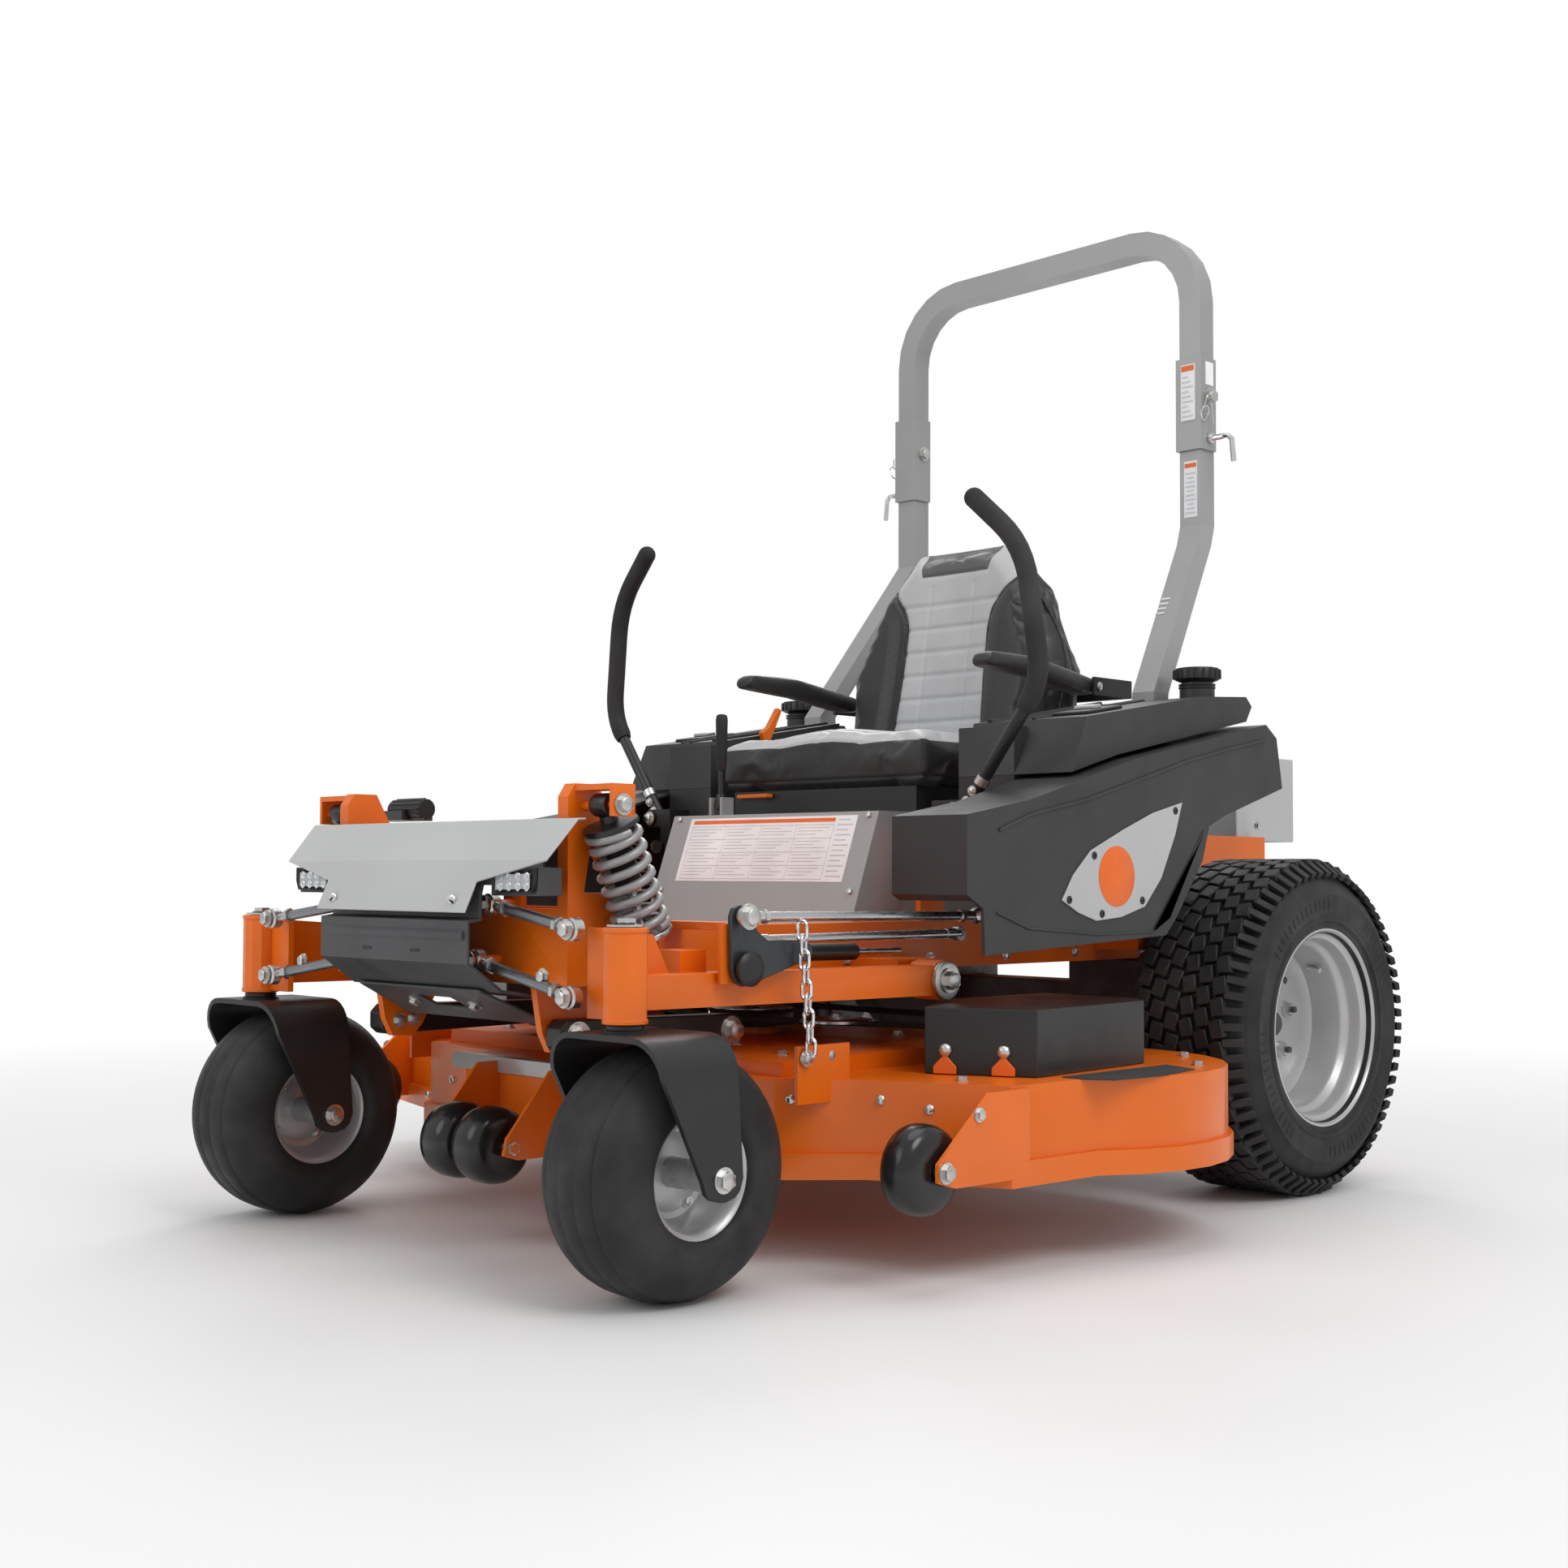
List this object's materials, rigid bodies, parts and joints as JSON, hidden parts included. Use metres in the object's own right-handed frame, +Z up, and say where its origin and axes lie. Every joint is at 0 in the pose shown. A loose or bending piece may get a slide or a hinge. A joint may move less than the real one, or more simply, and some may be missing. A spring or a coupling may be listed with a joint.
{
  "type": "zero turn mower",
  "caption": "Ride-on zero turn mower: independent front caster suspension, belly deck with side chute, twin lap bar levers, high-back seat, folding roll bar and rear engine.",
  "frame": {"origin": "on the ground at the centre of the footprint's bounding box", "axes": "+Z up, -Y towards the front casters, +X towards the operator's left; the machine's centre line is at x = 0.1075"},
  "size_m": [1.7503, 2.045, 1.78],
  "materials": {
    "orange_paint": "gloss",
    "black_paint": "satin",
    "silver_paint": "satin",
    "dark_plastic": "moulded",
    "bright_steel": "satin",
    "chrome_steel": "polished",
    "tyre": "matte",
    "rubber": "matte",
    "black_vinyl": "satin",
    "grey_vinyl": "satin",
    "engine_metal": "cast",
    "cast_metal": "cast",
    "lamp_glass": "clear",
    "decal": "gloss"
  },
  "bodies": {
    "chassis": {"main_frame": "orange_paint", "front_frame": "orange_paint", "front_cover": "silver_paint", "front_fascia": "dark_plastic", "hydro_drive": "cast_metal", "engine": "engine_metal", "rear_guard": "silver_paint", "seat_riser": "silver_paint", "fender_left": "dark_plastic", "fender_right": "dark_plastic", "fuel_tank_left": "dark_plastic", "fuel_tank_right": "dark_plastic", "rops_base": "silver_paint"},
    "deck": {"deck_shell": "orange_paint", "belt_cover_left": "black_paint", "belt_cover_right": "black_paint", "drive_belt": "rubber"},
    "seat": {"seat_base": "dark_plastic", "seat_cushion": "black_vinyl", "seat_back": "black_vinyl"},
    "rops_hoop": {"rops_hoop": "silver_paint"},
    "brake_lever": {"brake_lever": "black_paint"},
    "lift_rod": {"lift_rod": "bright_steel"},
    "chute": {"chute": "rubber"},
    "roller_front": {"roller_front": "rubber"},
    "rear_wheel_left": {"rear_wheel_left": "tyre"},
    "swing_arm_left": {"swing_arm_left": "orange_paint"},
    "caster_fork_left": {"caster_fork_left": "black_paint"},
    "front_wheel_left": {"front_wheel_left": "tyre"},
    "upper_link_left": {"upper_link_left": "bright_steel"},
    "lower_link_left": {"lower_link_left": "bright_steel"},
    "shock_rod_left": {"shock_rod_left": "bright_steel"},
    "lever_hub_left": {"lever_hub_left": "black_paint"},
    "lap_bar_left": {"lap_bar_left": "rubber"},
    "lift_crank_left": {"lift_crank_left": "black_paint"},
    "roller_left": {"roller_left": "rubber"},
    "armrest_left": {"armrest_left": "black_vinyl"},
    "fuel_cap_left": {"fuel_cap_left": "dark_plastic"},
    "rops_pin_left": {"rops_pin_left": "chrome_steel"},
    "blade_spindle_left": {"blade_spindle_left": "bright_steel"},
    "shock_body_left": {"shock_body_left": "black_paint", "spring_left": "silver_paint"},
    "rear_wheel_right": {"rear_wheel_right": "tyre"},
    "swing_arm_right": {"swing_arm_right": "orange_paint"},
    "caster_fork_right": {"caster_fork_right": "black_paint"},
    "front_wheel_right": {"front_wheel_right": "tyre"},
    "upper_link_right": {"upper_link_right": "bright_steel"},
    "lower_link_right": {"lower_link_right": "bright_steel"},
    "shock_rod_right": {"shock_rod_right": "bright_steel"},
    "lever_hub_right": {"lever_hub_right": "black_paint"},
    "lap_bar_right": {"lap_bar_right": "rubber"},
    "lift_crank_right": {"lift_crank_right": "black_paint"},
    "roller_right": {"roller_right": "rubber"},
    "armrest_right": {"armrest_right": "black_vinyl"},
    "fuel_cap_right": {"fuel_cap_right": "dark_plastic"},
    "rops_pin_right": {"rops_pin_right": "chrome_steel"},
    "blade_spindle_right": {"blade_spindle_right": "bright_steel"},
    "shock_body_right": {"shock_body_right": "black_paint", "spring_right": "silver_paint"},
    "blade_spindle_middle": {"blade_spindle_middle": "bright_steel"}
  },
  "joints": [
    {"name": "rear_wheel_left_spin", "type": "hinge", "parent": "chassis", "child": "rear_wheel_left", "pos_m": [0.6325, 0.4975, 0.29], "axis": [1, 0, 0], "continuous": true},
    {"name": "arm_left_swing", "type": "hinge", "parent": "chassis", "child": "swing_arm_left", "pos_m": [0.5325, -0.3025, 0.391], "axis": [1, 0, 0], "range_deg": [-3.1, 3.1], "stiffness_Nm_per_rad": 16000, "springref_deg": 1.6},
    {"name": "caster_left_swivel", "type": "hinge", "parent": "swing_arm_left", "child": "caster_fork_left", "pos_m": [0.5585, -0.926, 0.346], "axis": [0, 0, 1], "continuous": true},
    {"name": "front_wheel_left_spin", "type": "hinge", "parent": "caster_fork_left", "child": "front_wheel_left", "pos_m": [0.5585, -0.8575, 0.165], "axis": [1, 0, 0], "continuous": true},
    {"name": "upper_link_left_turn", "type": "hinge", "parent": "chassis", "child": "upper_link_left", "pos_m": [0.2675, -0.9235, 0.505], "axis": [0, 1, 0], "range_deg": [-9.5, 9.5]},
    {"name": "lower_link_left_turn", "type": "hinge", "parent": "chassis", "child": "lower_link_left", "pos_m": [0.2375, -0.9235, 0.427], "axis": [0, 1, 0], "range_deg": [-8.4, 8.4]},
    {"name": "shock_left_tilt", "type": "hinge", "parent": "chassis", "child": "shock_body_left", "pos_m": [0.4325, -0.8585, 0.641], "axis": [1, 0, 0], "range_deg": [-3, 3]},
    {"name": "shock_left_travel", "type": "slide", "parent": "shock_body_left", "child": "shock_rod_left", "axis": [0, 0.385, -0.9229], "range_m": [-0.023, 0.023], "deforming": ["spring_left"]},
    {"name": "drive_lever_left_push", "type": "hinge", "parent": "chassis", "child": "lever_hub_left", "pos_m": [0.4275, -0.1495, 0.6], "axis": [1, 0, 0], "range_deg": [-14, 22]},
    {"name": "drive_lever_left_swing", "type": "hinge", "parent": "lever_hub_left", "child": "lap_bar_left", "pos_m": [0.4735, -0.1495, 0.652], "axis": [0, 1, 0], "range_deg": [-22, 0]},
    {"name": "lift_crank_left_turn", "type": "hinge", "parent": "chassis", "child": "lift_crank_left", "pos_m": [0.5715, -0.7345, 0.422], "axis": [1, 0, 0], "range_deg": [-45.2, 0]},
    {"name": "roller_left_spin", "type": "hinge", "parent": "deck", "child": "roller_left", "pos_m": [0.7625, -0.5895, 0.161], "axis": [1, 0, 0], "continuous": true},
    {"name": "armrest_left_fold", "type": "hinge", "parent": "seat", "child": "armrest_left", "pos_m": [0.3725, 0.2775, 0.885], "axis": [-1, 0, 0], "range_deg": [0, 85]},
    {"name": "fuel_cap_left_turn", "type": "hinge", "parent": "chassis", "child": "fuel_cap_left", "pos_m": [0.5895, 0.3375, 0.872], "axis": [0, 0, 1], "range_deg": [0, 90]},
    {"name": "rops_pin_left_pull", "type": "slide", "parent": "rops_hoop", "child": "rops_pin_left", "axis": [1, 0, 0], "range_m": [0, 0.04]},
    {"name": "rear_wheel_right_spin", "type": "hinge", "parent": "chassis", "child": "rear_wheel_right", "pos_m": [-0.4175, 0.4975, 0.29], "axis": [1, 0, 0], "continuous": true},
    {"name": "arm_right_swing", "type": "hinge", "parent": "chassis", "child": "swing_arm_right", "pos_m": [-0.3175, -0.3025, 0.391], "axis": [1, 0, 0], "range_deg": [-3.1, 3.1], "stiffness_Nm_per_rad": 16000, "springref_deg": 1.6},
    {"name": "caster_right_swivel", "type": "hinge", "parent": "swing_arm_right", "child": "caster_fork_right", "pos_m": [-0.3435, -0.926, 0.346], "axis": [0, 0, 1], "continuous": true},
    {"name": "front_wheel_right_spin", "type": "hinge", "parent": "caster_fork_right", "child": "front_wheel_right", "pos_m": [-0.3435, -0.8575, 0.165], "axis": [1, 0, 0], "continuous": true},
    {"name": "upper_link_right_turn", "type": "hinge", "parent": "chassis", "child": "upper_link_right", "pos_m": [-0.0525, -0.9235, 0.505], "axis": [0, 1, 0], "range_deg": [-9.5, 9.5]},
    {"name": "lower_link_right_turn", "type": "hinge", "parent": "chassis", "child": "lower_link_right", "pos_m": [-0.0225, -0.9235, 0.427], "axis": [0, 1, 0], "range_deg": [-8.4, 8.4]},
    {"name": "shock_right_tilt", "type": "hinge", "parent": "chassis", "child": "shock_body_right", "pos_m": [-0.2175, -0.8585, 0.641], "axis": [1, 0, 0], "range_deg": [-3, 3]},
    {"name": "shock_right_travel", "type": "slide", "parent": "shock_body_right", "child": "shock_rod_right", "axis": [0, 0.385, -0.9229], "range_m": [-0.023, 0.023], "deforming": ["spring_right"]},
    {"name": "drive_lever_right_push", "type": "hinge", "parent": "chassis", "child": "lever_hub_right", "pos_m": [-0.2125, -0.1495, 0.6], "axis": [1, 0, 0], "range_deg": [-14, 22]},
    {"name": "drive_lever_right_swing", "type": "hinge", "parent": "lever_hub_right", "child": "lap_bar_right", "pos_m": [-0.2585, -0.1495, 0.652], "axis": [0, 1, 0], "range_deg": [0, 22]},
    {"name": "lift_crank_right_turn", "type": "hinge", "parent": "chassis", "child": "lift_crank_right", "pos_m": [-0.3565, -0.7345, 0.422], "axis": [1, 0, 0], "range_deg": [-45.2, 0]},
    {"name": "roller_right_spin", "type": "hinge", "parent": "deck", "child": "roller_right", "pos_m": [-0.5475, -0.5895, 0.161], "axis": [1, 0, 0], "continuous": true},
    {"name": "armrest_right_fold", "type": "hinge", "parent": "seat", "child": "armrest_right", "pos_m": [-0.1575, 0.2775, 0.885], "axis": [-1, 0, 0], "range_deg": [0, 85]},
    {"name": "fuel_cap_right_turn", "type": "hinge", "parent": "chassis", "child": "fuel_cap_right", "pos_m": [-0.3745, 0.3375, 0.872], "axis": [0, 0, 1], "range_deg": [0, 90]},
    {"name": "rops_pin_right_pull", "type": "slide", "parent": "rops_hoop", "child": "rops_pin_right", "axis": [-1, 0, 0], "range_m": [0, 0.04]},
    {"name": "roller_front_spin", "type": "hinge", "parent": "deck", "child": "roller_front", "pos_m": [0.1075, -0.8305, 0.154], "axis": [1, 0, 0], "continuous": true},
    {"name": "parking_brake_pull", "type": "hinge", "parent": "chassis", "child": "brake_lever", "pos_m": [-0.0475, -0.1945, 0.672], "axis": [1, 0, 0], "range_deg": [0, 32]},
    {"name": "deck_lift", "type": "slide", "parent": "chassis", "child": "deck", "axis": [0, 0, 1], "range_m": [-0.09, 0]},
    {"name": "lift_rod_turn", "type": "hinge", "parent": "lift_crank_left", "child": "lift_rod", "pos_m": [0.5895, -0.7445, 0.492], "axis": [1, 0, 0], "range_deg": [0, 45.2]},
    {"name": "blade_middle_spin", "type": "hinge", "parent": "deck", "child": "blade_spindle_middle", "pos_m": [0.1075, -0.2675, 0.3], "axis": [0, 0, 1], "continuous": true},
    {"name": "blade_left_spin", "type": "hinge", "parent": "deck", "child": "blade_spindle_left", "pos_m": [0.5925, -0.0925, 0.3], "axis": [0, 0, 1], "continuous": true},
    {"name": "blade_right_spin", "type": "hinge", "parent": "deck", "child": "blade_spindle_right", "pos_m": [-0.3775, -0.0925, 0.3], "axis": [0, 0, 1], "continuous": true},
    {"name": "chute_lift", "type": "hinge", "parent": "deck", "child": "chute", "pos_m": [-0.6705, -0.2075, 0.253], "axis": [0, 1, 0], "range_deg": [0, 90]},
    {"name": "seat_slide", "type": "slide", "parent": "chassis", "child": "seat", "axis": [0, 1, 0], "range_m": [-0.04, 0.04]},
    {"name": "rops_fold", "type": "hinge", "parent": "chassis", "child": "rops_hoop", "pos_m": [0.1075, 0.5425, 1.44], "axis": [-1, 0, 0], "range_deg": [0, 105]}
  ],
  "couplings": [
    {"joint": "upper_link_left_turn", "follows": "arm_left_swing", "ratio": 3.02},
    {"joint": "lower_link_left_turn", "follows": "arm_left_swing", "ratio": 2.667},
    {"joint": "shock_left_tilt", "follows": "arm_left_swing", "ratio": -0.9455},
    {"joint": "shock_left_travel", "follows": "arm_left_swing", "m_per_rad": 0.417},
    {"joint": "lift_crank_left_turn", "follows": "deck_lift", "rad_per_m": 8.73},
    {"joint": "upper_link_right_turn", "follows": "arm_right_swing", "ratio": -3.02},
    {"joint": "lower_link_right_turn", "follows": "arm_right_swing", "ratio": -2.667},
    {"joint": "shock_right_tilt", "follows": "arm_right_swing", "ratio": -0.9455},
    {"joint": "shock_right_travel", "follows": "arm_right_swing", "m_per_rad": 0.417},
    {"joint": "lift_crank_right_turn", "follows": "deck_lift", "rad_per_m": 8.73},
    {"joint": "lift_rod_turn", "follows": "deck_lift", "rad_per_m": -8.73},
    {"joint": "blade_left_spin", "follows": "blade_middle_spin", "ratio": 1},
    {"joint": "blade_right_spin", "follows": "blade_middle_spin", "ratio": 1}
  ]
}
